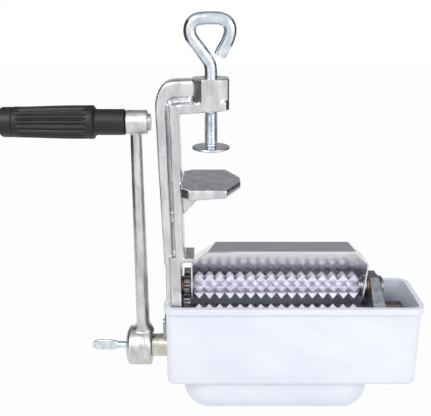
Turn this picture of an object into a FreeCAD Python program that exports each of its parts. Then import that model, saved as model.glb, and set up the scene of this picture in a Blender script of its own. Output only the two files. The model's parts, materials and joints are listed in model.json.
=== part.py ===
import FreeCAD, Part
import math
import os
import re
import Sketcher

# Clamp-on hand-cranked roller machine.
# Frame: +X along the roller shafts away from the crank, +Y away from the user, +Z up.
# Origin: on the clamp screw's axis, at the top face of the fixed jaw plate.

V = FreeCAD.Vector
TEETH = 17
ROLLER_COLUMNS = 16
ROLLER_ROWS = 10

SIZES = (
    # clamp and column of the casting
    ("jaw_thickness", 8.0), ("jaw_tip_thickness", 5.0), ("jaw_half_width", 29.7),
    ("jaw_tip_half", 6.0), ("jaw_reach", 21.8), ("jaw_taper_start", 9.0),
    ("column_inner", -22.7), ("column_lean", 2.5), ("column_width", 16.8),
    ("flange_thickness", 6.5), ("flange_half_width", 12.0), ("web_thickness", 8.0),
    ("corner_radius", 16.0), ("boss_half", 13.0), ("boss_height", 22.0),
    ("boss_underside", 52.4), ("gusset_drop", 26.5), ("gusset_thickness", 6.0),
    # clamp screw and pad
    ("screw_radius", 5.0), ("pad_radius", 14.0), ("pad_thickness", 2.0),
    ("pad_underside", 23.2), ("pin_radius", 3.0), ("loop_rod_radius", 4.5),
    ("loop_half_width", 15.5), ("loop_height", 39.5), ("loop_corner", 8.5),
    # roller train
    ("roller_tip_radius", 11.5), ("roller_root_radius", 7.9), ("tooth_pitch", 8.0),
    ("lower_axis_y", -8.0), ("lower_axis_z", -110.3), ("nip_gap", 2.5), ("upper_bearing", 61.8),
    ("crank_bearing", -81.0), ("gear_width", 4.8), ("gear_backlash", 0.16),
    ("roller_core_radius", 6.0), ("journal_radius", 4.0), ("journal_flat", 3.2),
    # running and fixed fits
    ("running_gap", 0.05), ("fixed_gap", 0.015), ("side_gap", 0.4),
    # housing at the left and plate at the right
    ("housing_thickness", 8.4), ("plate_thickness", 10.2), ("plate_back_thickness", 6.4),
    ("bush_radius", 5.5), ("bush_flange_radius", 7.6), ("bush_flange", 1.2),
    ("plate_boss_radius", 8.0), ("roof_thickness", 3.4),
    # tie rods
    ("tie_radius", 4.0), ("nut_radius", 5.0),
    # crank
    ("crank_radius", 179.0), ("crank_shaft_radius", 5.0), ("sleeve_radius", 9.0),
    ("square_width", 7.0), ("hub_radius", 15.5), ("hub_length", 18.5),
    ("arm_width_low", 9.3), ("arm_width_high", 7.4), ("arm_depth_low", 14.0),
    ("arm_depth_high", 10.0), ("end_boss_radius", 8.65), ("end_boss_length", 15.7),
    ("washer_radius", 12.5), ("washer_thickness", 2.3), ("thumb_thread_radius", 2.5),
    ("thumb_neck_radius", 2.75), ("thumb_neck", 5.0), ("thumb_paddle_length", 22.0),
    ("thumb_paddle_half", 4.5), ("thumb_lobe_radius", 2.4),
    # grip
    ("spindle_radius", 4.0), ("spindle_head_radius", 6.0), ("spindle_head", 2.0),
    ("grip_radius", 12.0), ("grip_end_radius", 11.0), ("grip_neck_radius", 9.25),
    ("grip_length", 79.4), ("grip_neck_length", 22.0), ("grip_cap_length", 9.5),
    ("grip_cap_radius", 10.75), ("grip_flutes", 18.0), ("flute_radius", 1.6),
    # hood
    ("sheet", 1.0), ("hood_foot_lift", 4.0), ("hood_right_lean", 3.2),
    ("hood_wall_gap", 0.8), ("ear_height", 12.0), ("hood_screw_radius", 2.0),
    ("hood_screw_inset", 4.0),
    # tray
    ("tray_wall", 2.0), ("tray_corner", 7.0), ("tray_edge", 3.5), ("rim_height", 5.0),
    ("rim_flare", 1.5), ("bulge_corner", 21.0), ("bulge_edge", 19.0), ("notch_gap", 0.6),
    ("clip_height", 12.0), ("clip_proud", 2.1), ("clip_gap", 0.3),
)
# Places and sizes that follow from the ones above; each may use the ones before it.
PLACES = (
    ("arm_top", "boss_underside + boss_height - 0.4"),
    ("arm_underside", "boss_underside - 2.4"),
    ("screw_foot", "pad_underside + pad_thickness + 0.3"),
    ("loop_start", "boss_underside + boss_height + 0.3"),
    ("gear_module", "(2 * roller_tip_radius + nip_gap) / %d" % TEETH),
    ("upper_y", "lower_axis_y + gear_module * %d * cos(upper_bearing * 1 deg)" % TEETH),
    ("upper_z", "lower_axis_z + gear_module * %d * sin(upper_bearing * 1 deg)" % TEETH),
    ("crank_y", "lower_axis_y + gear_module * %d * cos(crank_bearing * 1 deg)" % TEETH),
    ("crank_z", "lower_axis_z + gear_module * %d * sin(crank_bearing * 1 deg)" % TEETH),
    ("housing_face", "column_inner + 0.1"),
    ("housing_left", "housing_face - housing_thickness"),
    ("housing_top", "upper_z + 29.3"),
    ("web_end", "housing_top - 12.5"),
    ("gear_start", "housing_face + bush_flange + side_gap"),
    ("roller_start", "gear_start + gear_width + 2.8"),
    ("roller_end", "roller_start + %d * tooth_pitch" % ROLLER_COLUMNS),
    ("roof_reach", "roller_start + 0.6"),
    ("plate_face", "roller_end + 8.2"),
    ("plate_boss_end", "plate_face + plate_thickness + 0.3"),
    ("shaft_tail", "plate_boss_end + 1"),
    ("core_end", "plate_face - bush_flange - side_gap + 0.1"),
    ("nut_end", "plate_face + plate_thickness + 19.6"),
    ("plate_bottom", "crank_z - 14.5"),
    ("tie_upper_y", "lower_axis_y + gear_module * %d / 2 + 7.75" % TEETH),
    ("tie_upper_z", "lower_axis_z - 1.7"),
    ("tie_lower_y", "crank_y + gear_module * %d / 2 + 4.76" % TEETH),
    ("tie_lower_z", "crank_z - 7.5"),
    ("plate_back", "tie_lower_y + 5.5"),
    ("tray_half_depth", "plate_back + 8.2"),
    ("plate_front", "3.2 - tray_half_depth"),
    ("sleeve_end", "housing_face - 23.9"),
    ("hub_inner", "sleeve_end - side_gap"),
    ("arm_centre", "hub_inner - 6.8"),
    ("end_boss_inner", "hub_inner + 2.1"),
    ("hood_left_wall", "roller_start - hood_wall_gap - sheet"),
    ("hood_right_wall", "roller_end + hood_wall_gap + sheet"),
    ("hood_roof", "upper_z + 30.8"),
    ("hood_shoulder", "upper_z + 23.8"),
    ("hood_bottom", "upper_z - 8.2"),
    ("hood_front", "upper_y - 5.05"),
    ("hood_lip", "upper_y - 13.05"),
    ("hood_left_back", "hood_left_wall + 18.7"),
    ("hood_left_front", "hood_left_wall + 12.8"),
    ("hood_right_back", "hood_right_wall - 7.9"),
    ("hood_right_front", "hood_right_wall - 5.6"),
    ("ear_centre", "upper_z - 9.2"),
    ("tray_left", "housing_left - 3.3"),
    ("tray_right", "plate_face + plate_thickness + 25.7"),
    ("tray_rim", "lower_axis_z + 18"),
    ("tray_bottom", "plate_bottom - 8.5"),
    ("bulge_left", "tray_left + 12.3"),
    ("bulge_right", "tray_right - 33.7"),
    ("bulge_bottom", "tray_bottom - 30"),
    ("bulge_half_depth", "tray_half_depth - 3.8"),
    ("clip_centre", "crank_z + 17.5"),
)

doc = FreeCAD.newDocument("RollerMachine")
sheet = doc.addObject("Spreadsheet::Sheet", "sizes")
for row, (alias, number) in enumerate(SIZES, start=1):
    sheet.set("A%d" % row, alias)
    sheet.set("B%d" % row, str(number))
    sheet.setAlias("B%d" % row, alias)
doc.recompute()

OWNERS = {alias: "sizes." for alias, number in SIZES}
OWNERS.update({name: "places." for name, formula in PLACES})
nodes = []


# ---------------------------------------------------------------- shared helpers

def size(name):
    """A driving dimension from the sheet, or a place that follows from them."""
    if OWNERS[name] == "places.":
        return getattr(places, name)
    return float(sheet.get(name))


def linked(text):
    """An expression written with size names, pointed at the cells and places they name."""
    def owned(word):
        return OWNERS.get(word.group(), "") + word.group()
    return re.sub(r"[a-z][a-z_]+", owned, text)


def bind(thing, bindings):
    for target, text in bindings.items():
        thing.setExpression(target, linked(text))
    return thing


def node(thing, name):
    """Name a finished sub-part; its label is its file's name."""
    thing.Label = name
    nodes.append(thing)
    return thing


def at(x, y, z):
    return {"Placement.Base.x": x, "Placement.Base.y": y, "Placement.Base.z": z}


def rod(name, start, length, radius, y, z):
    """A cylinder along +X."""
    thing = doc.addObject("Part::Cylinder", name)
    thing.Placement.Rotation = FreeCAD.Rotation(V(0, 1, 0), 90)
    return bind(thing, {"Radius": radius, "Height": length, **at(start, y, z)})


def post(name, x, y, low, height, radius):
    """A cylinder along +Z."""
    thing = doc.addObject("Part::Cylinder", name)
    return bind(thing, {"Radius": radius, "Height": height, **at(x, y, low)})


def pin_back(name, x, start, z, length, radius):
    """A cylinder along +Y."""
    thing = doc.addObject("Part::Cylinder", name)
    thing.Placement.Rotation = FreeCAD.Rotation(V(1, 0, 0), -90)
    return bind(thing, {"Radius": radius, "Height": length, **at(x, start, z)})


def block(name, corner, spans):
    thing = doc.addObject("Part::Box", name)
    sides = dict(zip(("Length", "Width", "Height"), spans))
    return bind(thing, {**sides, **at(*corner)})


def joined(name, pieces):
    thing = doc.addObject("Part::MultiFuse", name)
    thing.Shapes = pieces
    return thing


def cut(name, base, tool):
    thing = doc.addObject("Part::Cut", name)
    thing.Base = base
    thing.Tool = tool
    return thing


def shaped(name, shape):
    """A sub-part whose shape is worked out from the sheet by a formula."""
    thing = doc.addObject("Part::Feature", name)
    thing.Shape = shape
    return thing


def new_body(name):
    return doc.addObject("PartDesign::Body", name)


def new_sketch(body, name, plane, offset):
    sketch = body.newObject("Sketcher::SketchObject", name)
    found = [feature for feature in body.Origin.OriginFeatures if feature.Role == plane]
    sketch.AttachmentSupport = [(found[0], "")]
    sketch.MapMode = "FlatFace"
    return bind(sketch, {"AttachmentOffset.Base.z": offset})


def pin_point(sketch, geometry, point, across, up, rough):
    """Hold one point of a sketch at two named distances from the origin."""
    for kind, text, number in (("DistanceX", across, rough.x), ("DistanceY", up, rough.y)):
        index = sketch.addConstraint(Sketcher.Constraint(kind, -1, 1, geometry, point, number))
        sketch.setExpression("Constraints[%d]" % index, linked(text))


def polygon(body, name, plane, corners, offset="0"):
    """A closed outline; each corner is a pair of expressions."""
    sketch = new_sketch(body, name, plane, offset)
    count = len(corners)
    turns = [2 * math.pi * k / count for k in range(count)]
    rough = [V(30 * math.cos(turn), 30 * math.sin(turn), 0) for turn in turns]
    for k in range(count):
        sketch.addGeometry(Part.LineSegment(rough[k], rough[(k + 1) % count]), False)
    for k in range(count):
        sketch.addConstraint(Sketcher.Constraint("Coincident", k, 2, (k + 1) % count, 1))
    for k, (across, up) in enumerate(corners):
        pin_point(sketch, k, 1, across, up, rough[k])
    return sketch


def circle(body, name, plane, across, up, radius, offset="0"):
    sketch = new_sketch(body, name, plane, offset)
    sketch.addGeometry(Part.Circle(V(1, 1, 0), V(0, 0, 1), 5), False)
    pin_point(sketch, 0, 3, across, up, V(1, 1, 0))
    index = sketch.addConstraint(Sketcher.Constraint("Radius", 0, 5))
    sketch.setExpression("Constraints[%d]" % index, linked(radius))
    return sketch


def pad(body, sketch, length):
    thing = body.newObject("PartDesign::Pad", sketch.Name + "_pad")
    thing.Profile = sketch
    sketch.Visibility = False
    return bind(thing, {"Length": length})


def pocket(body, sketch, length):
    """A cut against the sketch's own normal, checked to take material away."""
    doc.recompute()
    before = body.Shape.Volume
    thing = body.newObject("PartDesign::Pocket", sketch.Name + "_pocket")
    thing.Profile = sketch
    bind(thing, {"Length": length})
    doc.recompute()
    if body.Shape.Volume > before - 1e-3:
        raise ValueError(sketch.Name + " cuts nothing")
    return thing


def edges_where(shape, wanted):
    return ["Edge%d" % k for k, edge in enumerate(shape.Edges, start=1) if wanted(edge)]


def fillet(body, name, radius, wanted):
    """Round the edges that a test picks out of the body as it stands."""
    doc.recompute()
    base = body.Tip
    names = edges_where(base.Shape, wanted)
    thing = body.newObject("PartDesign::Fillet", name)
    thing.Base = (base, names)
    bind(thing, {"Radius": radius})
    doc.recompute()
    return thing


def runs_along(edge, axis):
    """A straight edge parallel to an axis."""
    if edge.Curve.TypeId != "Part::GeomLine":
        return False
    return abs(abs(edge.tangentAt(edge.FirstParameter).dot(axis)) - 1) < 1e-4


def near(first, second):
    return abs(first - second) < 0.05


# ---------------------------------------------------------------- places that follow

places = doc.addObject("App::VarSet", "places")
for name, formula in PLACES:
    places.addProperty("App::PropertyFloat", name)
    places.setExpression(name, linked(formula))
doc.recompute()

LOWER = ("lower_axis_y", "lower_axis_z")
UPPER = ("upper_y", "upper_z")
CRANK = ("crank_y", "crank_z")


def centre(axis):
    """A shaft's place in the YZ plane, as numbers."""
    return tuple(size(name) for name in axis)


# ---------------------------------------------------------------- casting

def add_column(body):
    """T-section column and arm: a wide flange inside, a thin web outside."""
    inner, lean = "column_inner", "column_lean"
    outer = "(column_inner - column_width)"
    flange = "(column_inner - flange_thickness)"
    side = polygon(body, "flange_side", "XZ_Plane", [
        ("boss_half - 2", "boss_underside"), ("boss_half - 2", "boss_underside + flange_thickness"),
        (flange, "arm_underside + flange_thickness"),
        (flange + " + " + lean, "housing_top - roof_thickness"),
        (inner + " + " + lean, "housing_top - roof_thickness"), (inner, "arm_underside")],
        "-flange_half_width")
    pad(body, side, "2 * flange_half_width")
    side = polygon(body, "web_side", "XZ_Plane", [
        ("0", "arm_top"), (outer + " + corner_radius", "arm_top - 1"),
        (outer + " + corner_radius * 0.3", "arm_top - corner_radius * 0.32"),
        (outer, "arm_top - corner_radius"), (outer + " + 3.9", "web_end + 5"),
        (outer + " + 7", "web_end"), (flange + " + " + lean + " - 1.5", "web_end + 2"),
        (flange + " + 3", "arm_underside + 3"), ("0", "arm_underside + 5")],
        "-web_thickness / 2")
    pad(body, side, "web_thickness")
    side = polygon(body, "rib_side", "XZ_Plane", [
        (outer + " + 4.4", "web_end + 8"), ("housing_left + 1", "web_end + 8"),
        ("housing_left + 1", "clip_centre - clip_height / 2"),
        (outer + " + 4.4", "clip_centre - clip_height / 2")], "-web_thickness / 2")
    pad(body, side, "web_thickness")


def add_jaws(body):
    plan = polygon(body, "boss_plan", "XY_Plane", [
        ("-boss_half", "-boss_half * 0.62"), ("-boss_half * 0.45", "-boss_half"),
        ("boss_half * 0.45", "-boss_half"), ("boss_half", "-boss_half * 0.62"),
        ("boss_half", "boss_half * 0.62"), ("boss_half * 0.45", "boss_half"),
        ("-boss_half * 0.45", "boss_half"), ("-boss_half", "boss_half * 0.62")],
        "boss_underside")
    pad(body, plan, "boss_height")
    back = "column_inner + 1.2"
    plan = polygon(body, "jaw_plan", "XY_Plane", [
        (back, "-jaw_half_width * 0.8"), ("-15", "-jaw_half_width"),
        ("jaw_taper_start + 2", "-jaw_half_width"), ("jaw_reach", "-jaw_tip_half"),
        ("jaw_reach", "jaw_tip_half"), ("jaw_taper_start + 2", "jaw_half_width"),
        ("-15", "jaw_half_width"), (back, "jaw_half_width * 0.8")], "-jaw_thickness")
    pad(body, plan, "jaw_thickness")
    under = polygon(body, "jaw_under", "XZ_Plane", [
        ("column_inner + 6", "-jaw_thickness - 1"), ("jaw_reach + 1", "-jaw_thickness - 1"),
        ("jaw_reach + 1", "-jaw_tip_thickness"), ("column_inner + 6", "-jaw_thickness")],
        "jaw_half_width + 1")
    pocket(body, under, "2 * jaw_half_width + 2")
    rib = polygon(body, "gusset_side", "XZ_Plane", [
        ("column_inner", "-gusset_drop - 2"), ("column_inner + 2", "-gusset_drop"),
        ("column_inner + 2 + gusset_drop * 0.72", "-jaw_thickness + 1.5"),
        ("column_inner", "-jaw_thickness + 1.5")], "-gusset_thickness / 2")
    pad(body, rib, "gusset_thickness")


def add_housing(body):
    """Bearing wall and the roof over the gears."""
    face = polygon(body, "housing_side", "YZ_Plane", [
        ("-flange_half_width", "housing_top"), ("-flange_half_width", "lower_axis_z + 24"),
        ("lower_axis_y - 11", "lower_axis_z + 6"), ("lower_axis_y - 11", "plate_bottom + 5"),
        ("lower_axis_y - 6", "plate_bottom"), ("plate_back", "plate_bottom"),
        ("plate_back", "housing_top - 13"), ("flange_half_width", "housing_top")],
        "housing_left")
    pad(body, face, "housing_thickness")
    roof = polygon(body, "roof_plan", "XY_Plane", [
        ("housing_left", "-flange_half_width"), ("roof_reach", "-flange_half_width"),
        ("roof_reach", "flange_half_width"), ("housing_left", "flange_half_width")],
        "housing_top - roof_thickness")
    pad(body, roof, "roof_thickness")


def bore_casting(body):
    hole = circle(body, "screw_hole", "XY_Plane", "0", "0", "screw_radius + running_gap",
                  "boss_underside + boss_height + 1")
    pocket(body, hole, "boss_height + 4")
    holes = (("upper_left_hole", UPPER, "bush_radius + fixed_gap"),
             ("lower_left_hole", LOWER, "bush_radius + fixed_gap"),
             ("sleeve_hole", CRANK, "sleeve_radius + fixed_gap"))
    for name, (y, z), radius in holes:
        hole = circle(body, name, "YZ_Plane", y, z, radius, "housing_face + 1")
        pocket(body, hole, "housing_thickness + 2")
    for name in ("tie_upper", "tie_lower"):
        hole = circle(body, name + "_hole", "YZ_Plane", name + "_y", name + "_z",
                      "tie_radius + fixed_gap", "housing_face + 1")
        pocket(body, hole, "housing_thickness - 1")
    hole = circle(body, "ear_hole", "XZ_Plane", "housing_face - hood_screw_inset",
                  "ear_centre", "hood_screw_radius + fixed_gap", "-plate_back + 8.1")
    pocket(body, hole, "9.1")
    hole = circle(body, "clip_hole", "YZ_Plane", "-1", "clip_centre",
                  "hood_screw_radius + fixed_gap", "housing_left + 2")
    pocket(body, hole, "9")


def make_casting():
    body = new_body("casting_body")
    add_column(body)
    add_jaws(body)
    add_housing(body)
    top = size("boss_underside") + size("boss_height")
    low = size("boss_underside")
    upright = V(0, 0, 1)
    fillet(body, "boss_rounding", "3", lambda edge: runs_along(edge, upright)
           and near(max(v.Z for v in edge.Vertexes), top) and min(v.Z for v in edge.Vertexes) > low - 1
           and edge.CenterOfMass.x > 1)
    fillet(body, "jaw_rounding", "5", lambda edge: runs_along(edge, upright)
           and near(edge.CenterOfMass.x, size("jaw_reach"))
           and max(v.Z for v in edge.Vertexes) < 0.1)
    bore_casting(body)
    return node(body, "frame_casting")


# ---------------------------------------------------------------- right plate

def make_right_plate():
    body = new_body("plate_body")
    foot = "plate_face + plate_thickness"
    face = polygon(body, "plate_side", "YZ_Plane", [
        ("plate_front", "lower_axis_z + 12.3"), ("0", "lower_axis_z + 31.3"),
        ("plate_back - 5", "lower_axis_z + 31.3"), ("plate_back", "lower_axis_z + 24"),
        ("plate_back", "lower_axis_z + 4"), ("-plate_front", "lower_axis_z - 2"),
        ("-plate_front", "plate_bottom"), ("plate_front", "plate_bottom")], "plate_face")
    pad(body, face, "plate_thickness")
    wedge = polygon(body, "plate_taper", "XY_Plane", [
        (foot, "plate_front"), (foot + " + 2", "plate_front"), (foot + " + 2", "-plate_front + 1"),
        ("plate_face + plate_back_thickness - 0.5", "-plate_front + 1"),
        ("plate_face + plate_back_thickness", "plate_back")], "lower_axis_z + 40")
    pocket(body, wedge, "lower_axis_z + 41 - plate_bottom")
    for name, (y, z) in (("upper_boss", UPPER), ("lower_boss", LOWER)):
        boss = circle(body, name, "YZ_Plane", y, z, "plate_boss_radius", "plate_face")
        pad(body, boss, "plate_boss_end - plate_face")
    for name, (y, z) in (("upper_right_hole", UPPER), ("lower_right_hole", LOWER)):
        hole = circle(body, name, "YZ_Plane", y, z, "bush_radius + fixed_gap",
                      "plate_boss_end + 1")
        pocket(body, hole, "plate_boss_end - plate_face + 2")
    for name in ("tie_upper", "tie_lower"):
        hole = circle(body, name + "_bore", "YZ_Plane", name + "_y", name + "_z",
                      "tie_radius + fixed_gap", foot + " + 1")
        pocket(body, hole, "plate_thickness + 2")
    hole = circle(body, "ear_bore", "XZ_Plane", "plate_face + plate_back_thickness / 2",
                  "ear_centre", "hood_screw_radius + fixed_gap", "-plate_back + 8.1")
    pocket(body, hole, "9.1")
    return node(body, "right_side_plate")


# ---------------------------------------------------------------- rollers and gears

def involute_flank(base, outer, steps=7):
    """Points of an involute from the base circle to the outer one, as (radius, turn)."""
    points = []
    for k in range(steps + 1):
        radius = base + (outer - base) * (k / steps) ** 1.5
        pressure = math.acos(min(1.0, base / radius))
        points.append((radius, math.tan(pressure) - pressure))
    return points


def gear_outline(phase):
    """Closed wire of an involute spur gear about the origin of the YZ plane."""
    module = size("gear_module")
    pitch = module * TEETH / 2
    base = pitch * math.cos(math.radians(20))
    root = pitch - 1.25 * module
    involute_at_pitch = math.tan(math.radians(20)) - math.radians(20)
    half = math.pi / (2 * TEETH) - size("gear_backlash") / (2 * pitch) + involute_at_pitch
    flank = involute_flank(base, pitch + module)

    def place(radius, turn):
        return V(0, radius * math.cos(turn), radius * math.sin(turn))

    edges = []
    step = 2 * math.pi / TEETH
    for tooth in range(TEETH):
        middle = phase + tooth * step
        rising = [place(radius, middle - half + turn) for radius, turn in flank]
        falling = [place(radius, middle + half - turn) for radius, turn in reversed(flank)]
        foot = place(root, middle - half)
        heel = place(root, middle + half)
        next_foot = place(root, middle + step - half)
        valley = place(root, middle + step / 2)
        curve = Part.BSplineCurve()
        curve.interpolate(rising)
        back = Part.BSplineCurve()
        back.interpolate(falling)
        tip = place(pitch + module, middle)
        edges.append(Part.makeLine(foot, rising[0]))
        edges.append(curve.toShape())
        edges.append(Part.Arc(rising[-1], tip, falling[0]).toShape())
        edges.append(back.toShape())
        edges.append(Part.makeLine(falling[-1], heel))
        edges.append(Part.Arc(heel, valley, next_foot).toShape())
    return Part.Wire(edges)


def gear(name, middle, phase, bore, flat):
    """A spur gear along X with a bore that may have one flat."""
    width = size("gear_width")
    solid = Part.Face(gear_outline(phase)).extrude(V(width, 0, 0))
    tool = Part.makeCylinder(bore, width + 2, V(-1, 0, 0), V(1, 0, 0))
    if flat:
        tool = tool.cut(Part.makeBox(width + 4, 4 * bore, bore, V(-2, -2 * bore, flat)))
    thing = shaped(name, solid.cut(tool))
    thing.Placement = FreeCAD.Placement(V(size("gear_start"), *middle), FreeCAD.Rotation())
    return node(thing, name)


def meshing_phase(first_phase, bearing):
    """Phase of the gear that meshes with a first one, at a bearing in degrees."""
    step = 2 * math.pi / TEETH
    return 2 * math.radians(bearing) + math.pi + step / 2 - first_phase


def make_gears():
    bore = size("journal_radius") + size("fixed_gap")
    flat = size("journal_flat") + size("fixed_gap")
    gear("lower_roller_gear", centre(LOWER), 0.0, bore, flat)
    gear("upper_roller_gear", centre(UPPER),
         meshing_phase(0.0, size("upper_bearing")), bore, flat)
    gear("drive_gear", centre(CRANK),
         meshing_phase(0.0, size("crank_bearing")),
         size("crank_shaft_radius") + size("fixed_gap"), 0)


def studded_drum(phase):
    """A roller of pyramid studs in rows, about the X axis from its own left end."""
    root, tip = size("roller_root_radius"), size("roller_tip_radius")
    pitch = size("tooth_pitch")
    step = 2 * math.pi / ROLLER_ROWS

    def ring(radius, x, turn):
        return V(x, radius * math.cos(phase + turn), radius * math.sin(phase + turn))

    faces = []
    for column in range(ROLLER_COLUMNS):
        for row in range(ROLLER_ROWS):
            x, turn = column * pitch, row * step
            corners = [ring(root, x, turn), ring(root, x + pitch, turn),
                       ring(root, x + pitch, turn + step), ring(root, x, turn + step)]
            peak = ring(tip, x + pitch / 2, turn + step / 2)
            for k in range(4):
                side = Part.makePolygon([corners[k], corners[(k + 1) % 4], peak, corners[k]])
                faces.append(Part.Face(side))
    for x in (0, ROLLER_COLUMNS * pitch):
        rim = [ring(root, x, row * step) for row in range(ROLLER_ROWS)]
        faces.append(Part.Face(Part.makePolygon(rim + rim[:1])))
    drum = Part.Solid(Part.makeShell(faces))
    length = ROLLER_COLUMNS * pitch
    bore = size("roller_core_radius") + size("fixed_gap")
    return drum.cut(Part.makeCylinder(bore, length + 2, V(-1, 0, 0), V(1, 0, 0)))


def make_roller(name, axis, phase):
    """A drum of studs and its shaft with two journals; the gear is made apart."""
    y, z = axis
    thing = shaped(name + "_drum", studded_drum(phase))
    thing.Placement = FreeCAD.Placement(V(size("roller_start"), *centre(axis)), FreeCAD.Rotation())
    node(thing, name + "_drum")
    gear_end = "(gear_start + gear_width)"
    core = rod(name + "_core", gear_end, "core_end - " + gear_end, "roller_core_radius", y, z)
    tail = rod(name + "_tail", gear_end + " + 1", "shaft_tail - (%s) - 1" % gear_end,
               "journal_radius", y, z)
    head = rod(name + "_head", "housing_left", gear_end + " + 1 - housing_left",
               "journal_radius", y, z)
    flat = block(name + "_flat", ("gear_start - 0.1", y + " - 2 * journal_radius",
                                  z + " + journal_flat"),
                 ("gear_width + 0.1", "4 * journal_radius", "journal_radius"))
    journal = cut(name + "_journal", head, flat)
    node(joined(name + "_bar", [core, tail, journal]), name + "_shaft")


def make_bush(name, axis, start, length, flange_start):
    y, z = axis
    tube = rod(name + "_tube", start, length, "bush_radius", y, z)
    collar = rod(name + "_collar", flange_start, "bush_flange", "bush_flange_radius", y, z)
    hole = rod(name + "_hole", start + " - 5", length + " + 10",
               "journal_radius + running_gap", y, z)
    node(cut(name + "_part", joined(name + "_outside", [tube, collar]), hole), name)


def make_rollers():
    half = math.pi / ROLLER_ROWS
    facing = math.radians(size("upper_bearing"))
    make_roller("lower_roller", LOWER, facing - half)
    make_roller("upper_roller", UPPER, facing + math.pi - half)
    for name, axis in (("upper", UPPER), ("lower", LOWER)):
        make_bush(name + "_left_bush", axis, "housing_left", "(housing_thickness + 0.1)",
                  "housing_face")
        make_bush(name + "_right_bush", axis, "(plate_face - bush_flange)",
                  "(plate_boss_end - plate_face + bush_flange)", "plate_face - bush_flange")


def make_ring(name, axis, start, inner, outer):
    """A retaining ring: a thin split ring on a shaft."""
    y, z = axis
    disc = rod(name + "_disc", start, "0.8", outer, y, z)
    hole = rod(name + "_bore", start + " - 1", "3", inner, y, z)
    gap = block(name + "_gap", (start + " - 1", y + " - 1.2", z + " - 2 * " + outer),
                ("3", "2.4", "2 * " + outer))
    node(cut(name + "_split", cut(name + "_whole", disc, hole), gap), name)


# ---------------------------------------------------------------- crank

def make_crank_shaft():
    y, z = CRANK
    square_end = "(hub_inner - hub_length)"
    bar = rod("crank_bar", "hub_inner + 0.2", "gear_start + gear_width + 3.2 - hub_inner",
              "crank_shaft_radius", y, z)
    square = block("crank_square", (square_end, y + " - square_width / 2",
                                    z + " - square_width / 2"),
                   ("hub_length + 0.3", "square_width", "square_width"))
    thread = rod("crank_thread", square_end + " - 1", "13", "thumb_thread_radius + fixed_gap", y, z)
    node(cut("crank_shaft_part", joined("crank_outside", [bar, square]), thread), "crank_shaft")
    ring = rod("thrust_disc", "housing_face + 0.3", "bush_flange", "8", y, z)
    hole = rod("thrust_bore", "housing_face - 1", "4", "crank_shaft_radius + fixed_gap", y, z)
    node(cut("thrust_part", ring, hole), "crank_thrust_washer")
    tube = rod("sleeve_tube", "sleeve_end", "housing_face - sleeve_end", "sleeve_radius", y, z)
    hole = rod("sleeve_bore", "sleeve_end - 1", "housing_face - sleeve_end + 2",
               "crank_shaft_radius + running_gap", y, z)
    node(cut("sleeve_part", tube, hole), "crank_bearing_sleeve")


def make_crank_arm():
    """Hub, tapered oval arm and end boss of the crank, as one casting."""
    y, z = CRANK
    hub = rod("hub_drum", "hub_inner - hub_length", "hub_length", "hub_radius", y, z)
    boss = rod("end_boss", "end_boss_inner - end_boss_length", "end_boss_length",
               "end_boss_radius", y, z + " + crank_radius")
    arm = doc.addObject("Part::Loft", "arm_loft")
    sections = []
    for name, high, wide, deep in (("arm_low", "0", "arm_width_low", "arm_depth_low"),
                                   ("arm_high", "crank_radius", "arm_width_high", "arm_depth_high")):
        section = doc.addObject("Part::Ellipse", name)
        section.Placement.Rotation = FreeCAD.Rotation(V(0, 0, 1), 90)
        bind(section, {"MajorRadius": deep + " / 2", "MinorRadius": wide + " / 2",
                       **at("arm_centre", y, z + " + " + high)})
        sections.append(section)
    arm.Sections = sections
    arm.Solid = True
    outside = joined("arm_outside", [hub, boss, arm])
    square = block("hub_square", ("hub_inner - hub_length - 1",
                                  y + " - square_width / 2 - fixed_gap",
                                  z + " - square_width / 2 - fixed_gap"),
                   ("hub_length + 2", "square_width + 2 * fixed_gap", "square_width + 2 * fixed_gap"))
    hole = rod("end_boss_hole", "end_boss_inner - end_boss_length - 1", "end_boss_length + 2",
               "spindle_radius + fixed_gap", y, z + " + crank_radius")
    tools = joined("arm_tools", [square, hole])
    node(cut("arm_part", outside, tools), "crank_arm")


def make_thumb_screw():
    """Spade screw: a rounded paddle, a neck and a thread into the crank shaft."""
    y, z = CRANK
    face = "(hub_inner - hub_length - washer_thickness)"
    neck = rod("thumb_stem", face + " - thumb_neck - 4", "thumb_neck + 4",
               "thumb_neck_radius", y, z)
    thread = rod("thumb_thread", face, "washer_thickness + 10", "thumb_thread_radius", y, z)
    lobes = []
    for side in (-1, 1):
        lobe = doc.addObject("Part::Ellipsoid", "thumb_lobe")
        lobe.Placement.Rotation = FreeCAD.Rotation(V(0, 1, 0), 90)
        bind(lobe, {"Radius1": "thumb_paddle_length / 2", "Radius2": "thumb_lobe_radius",
                    **at(face + " - thumb_neck - thumb_paddle_length / 2", y,
                         z + " + %d * (thumb_paddle_half - thumb_lobe_radius)" % side)})
        lobes.append(lobe)
    node(joined("thumb_part", [neck, thread] + lobes), "thumb_screw")
    dome = doc.addObject("Part::Cone", "washer_dome")
    dome.Placement.Rotation = FreeCAD.Rotation(V(0, 1, 0), -90)
    bind(dome, {"Radius1": "washer_radius", "Radius2": "washer_radius - 4.5",
                "Height": "washer_thickness", **at("hub_inner - hub_length", y, z)})
    hole = rod("washer_bore", face + " - 1", "washer_thickness + 2",
               "thumb_thread_radius + 0.2", y, z)
    node(cut("washer_part", dome, hole), "domed_washer")


# ---------------------------------------------------------------- grip

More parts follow.
